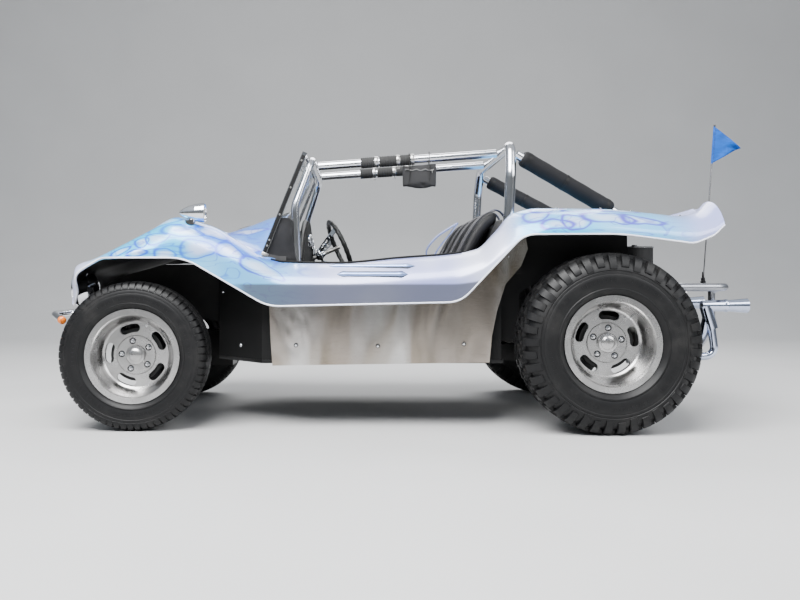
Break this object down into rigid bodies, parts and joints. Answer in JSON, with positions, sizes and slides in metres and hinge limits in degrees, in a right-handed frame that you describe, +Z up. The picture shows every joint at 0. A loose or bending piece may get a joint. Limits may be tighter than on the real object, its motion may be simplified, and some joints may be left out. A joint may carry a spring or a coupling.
{
  "type": "dune buggy",
  "caption": "Open two-seat dune buggy: moulded body with flared wings, roll cage, exposed rear engine and deep slotted wheels on wide rear tyres.",
  "frame": {"origin": "centre of the overall box, on the ground", "axes": "+X to the tail, +Y to the right-hand side, +Z up"},
  "size_m": [3.391, 1.648, 1.4653],
  "materials": {
    "body_paint": "pearl white with blue flames",
    "alloy_sheet": "polished sheet",
    "chassis_black": "satin black",
    "tub_black": "matt moulding",
    "chrome": "bright",
    "dark_glass": "clear",
    "foam": "matt foam",
    "vinyl": "grained vinyl",
    "canvas": "woven",
    "flag_cloth": "thin cloth",
    "wheel_alloy": "polished casting",
    "tyre": "matt",
    "cast_alloy": "rough casting",
    "steel": "plain",
    "amber": "clear amber",
    "whip": "glass fibre rod",
    "belt_rubber": "plain rubber",
    "rim_black": "wrapped"
  },
  "bodies": {
    "chassis": {"air_cleaner": "chrome", "brace_pads": "foam", "cabin_tub": "tub_black", "dampers": "chassis_black", "dashboard": "tub_black", "engine_block": "cast_alloy", "exhaust": "chrome", "fan_belt": "belt_rubber", "fan_shroud": "chrome", "flag": "flag_cloth", "flag_whip": "whip", "floor_pan": "chassis_black", "front_beam": "chassis_black", "front_bumper": "chrome", "front_hoop": "chrome", "front_wing_left": "body_paint", "front_wing_right": "body_paint", "generator": "steel", "headlamps": "chrome", "indicators": "amber", "levers": "steel", "main_hoop": "chrome", "mirror_left": "chrome", "mirror_right": "chrome", "nose_panel": "body_paint", "nose_tub": "tub_black", "pedals": "steel", "rear_braces": "chrome", "rear_bumper": "chrome", "rear_deck": "body_paint", "rear_suspension": "chassis_black", "rear_wing_left": "body_paint", "rear_wing_right": "body_paint", "rocker_covers": "chrome", "roof_bag": "canvas", "roof_rails": "chrome", "seat_left": "vinyl", "seat_right": "vinyl", "side_panels": "alloy_sheet", "side_top_left": "body_paint", "side_top_right": "body_paint", "steering_gear": "chassis_black", "transaxle": "cast_alloy", "windscreen_frame": "chrome", "windscreen_glass": "dark_glass"},
    "steering_wheel": {"steering_wheel": "rim_black"},
    "pitman": {"pitman_arm": "steel"},
    "tie_rods": {"tie_rods": "steel"},
    "knuckle_left": {"knuckle_left": "steel"},
    "knuckle_right": {"knuckle_right": "steel"},
    "wheel_front_left": {"rim_front_left": "wheel_alloy", "tyre_front_left": "tyre"},
    "wheel_front_right": {"rim_front_right": "wheel_alloy", "tyre_front_right": "tyre"},
    "wheel_rear_left": {"rim_rear_left": "wheel_alloy", "tyre_rear_left": "tyre"},
    "wheel_rear_right": {"rim_rear_right": "wheel_alloy", "tyre_rear_right": "tyre"}
  },
  "joints": [
    {"name": "steer_left", "type": "hinge", "parent": "chassis", "child": "knuckle_left", "pos_m": [-1.2495, -0.505, 0.33], "axis": [0, 0, 1], "range_deg": [-28, 28]},
    {"name": "steer_right", "type": "hinge", "parent": "chassis", "child": "knuckle_right", "pos_m": [-1.2495, 0.505, 0.33], "axis": [0, 0, 1], "range_deg": [-28, 28]},
    {"name": "steering_wheel_turn", "type": "hinge", "parent": "chassis", "child": "steering_wheel", "pos_m": [-0.3525, 0.33, 0.848], "axis": [0.9012, 0.1747, 0.3966], "range_deg": [-396.7, 396.7]},
    {"name": "pitman_turn", "type": "hinge", "parent": "chassis", "child": "pitman", "pos_m": [-1.2495, 0.15, 0.306], "axis": [0, 0, 1], "range_deg": [-28.1, 28.1]},
    {"name": "tie_rods_swing", "type": "hinge", "parent": "pitman", "child": "tie_rods", "pos_m": [-1.1295, 0.15, 0.306], "axis": [0, 0, 1], "range_deg": [-28.1, 28.1]},
    {"name": "spin_front_left", "type": "hinge", "parent": "knuckle_left", "child": "wheel_front_left", "pos_m": [-1.2495, -0.598, 0.33], "axis": [0, 1, 0], "continuous": true},
    {"name": "spin_front_right", "type": "hinge", "parent": "knuckle_right", "child": "wheel_front_right", "pos_m": [-1.2495, 0.598, 0.33], "axis": [0, 1, 0], "continuous": true},
    {"name": "spin_rear_left", "type": "hinge", "parent": "chassis", "child": "wheel_rear_left", "pos_m": [0.8305, -0.69, 0.392], "axis": [0, 1, 0], "continuous": true},
    {"name": "spin_rear_right", "type": "hinge", "parent": "chassis", "child": "wheel_rear_right", "pos_m": [0.8305, 0.69, 0.392], "axis": [0, 1, 0], "continuous": true}
  ],
  "couplings": [
    {"joint": "steer_right", "follows": "steer_left", "ratio": 1},
    {"joint": "steering_wheel_turn", "follows": "steer_left", "ratio": 14.15},
    {"joint": "pitman_turn", "follows": "steer_left", "ratio": 1},
    {"joint": "tie_rods_swing", "follows": "steer_left", "ratio": -1}
  ]
}
